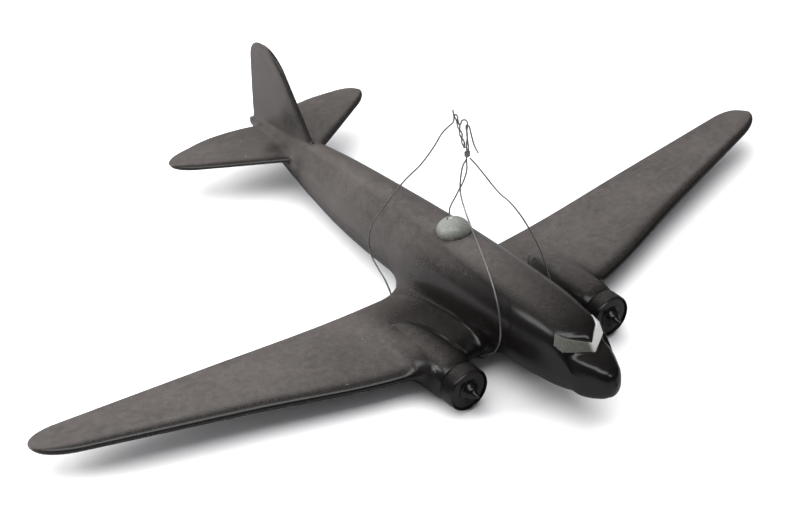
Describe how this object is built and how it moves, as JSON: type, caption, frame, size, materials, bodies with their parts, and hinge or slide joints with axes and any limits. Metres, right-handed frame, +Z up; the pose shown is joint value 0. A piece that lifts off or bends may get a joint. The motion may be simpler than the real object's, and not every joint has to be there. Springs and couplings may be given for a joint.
{
  "type": "aircraft recognition model",
  "caption": "Solid-looking black moulded display model of a twin-engine low-wing transport aeroplane, with a clear dome and windscreen and a hanging harness of bent wire",
  "frame": {"origin": "on the surface that the model stands on, at the centre of the airframe's bounding box in plan", "axes": "+X out along the left wing, -Y forward to the nose, +Z up; the model stands tail down, nose up 2.88 degrees, on both nacelles and the rear keel"},
  "size_m": [0.402, 0.2634, 0.1018],
  "materials": {
    "black_moulding": "satin black-brown moulding, dusty on its upward faces",
    "smoked_clear": "aged grey-green clear plastic, worn to a haze",
    "steel_joiner": "plain turned and cut steel",
    "annealed_wire": "dull dark annealed wire, bent by hand"
  },
  "bodies": {
    "airframe": {"fuselage_left_half": "black_moulding", "fuselage_right_half": "black_moulding", "wing_left": "black_moulding", "wing_right": "black_moulding", "stabiliser_left": "black_moulding", "stabiliser_right": "black_moulding", "fin": "black_moulding", "nacelle_left": "black_moulding", "nacelle_right": "black_moulding", "cowl_left": "black_moulding", "cowl_right": "black_moulding", "engine_face_left": "black_moulding", "engine_face_right": "black_moulding", "hub_pin_left": "steel_joiner", "hub_pin_right": "steel_joiner", "windscreen": "smoked_clear", "observation_dome": "smoked_clear", "dome_pin": "smoked_clear", "wing_spar": "steel_joiner", "tailplane_rod": "steel_joiner", "fin_peg": "steel_joiner", "nose_dowel": "black_moulding", "middle_dowel": "black_moulding", "tail_dowel": "black_moulding"},
    "left_hub": {"propeller_hub_left": "black_moulding"},
    "right_hub": {"propeller_hub_right": "black_moulding"},
    "harness": {"sling_wire_right": "annealed_wire", "sling_wire_left": "annealed_wire", "hanger_eye": "annealed_wire", "hanger_link": "annealed_wire", "hanger_tail": "annealed_wire", "knot_binding": "annealed_wire"}
  },
  "joints": [
    {"name": "left_hub_spin", "type": "hinge", "parent": "airframe", "child": "left_hub", "pos_m": [0.0395, -0.08618, 0.01088], "axis": [0, -0.9987, 0.0502], "continuous": true},
    {"name": "right_hub_spin", "type": "hinge", "parent": "airframe", "child": "right_hub", "pos_m": [-0.0395, -0.08618, 0.01088], "axis": [0, -0.9987, 0.0502], "continuous": true},
    {"name": "harness_lift", "type": "slide", "parent": "airframe", "child": "harness", "axis": [0, 0, 1], "range_m": [0, 0.0006]}
  ]
}
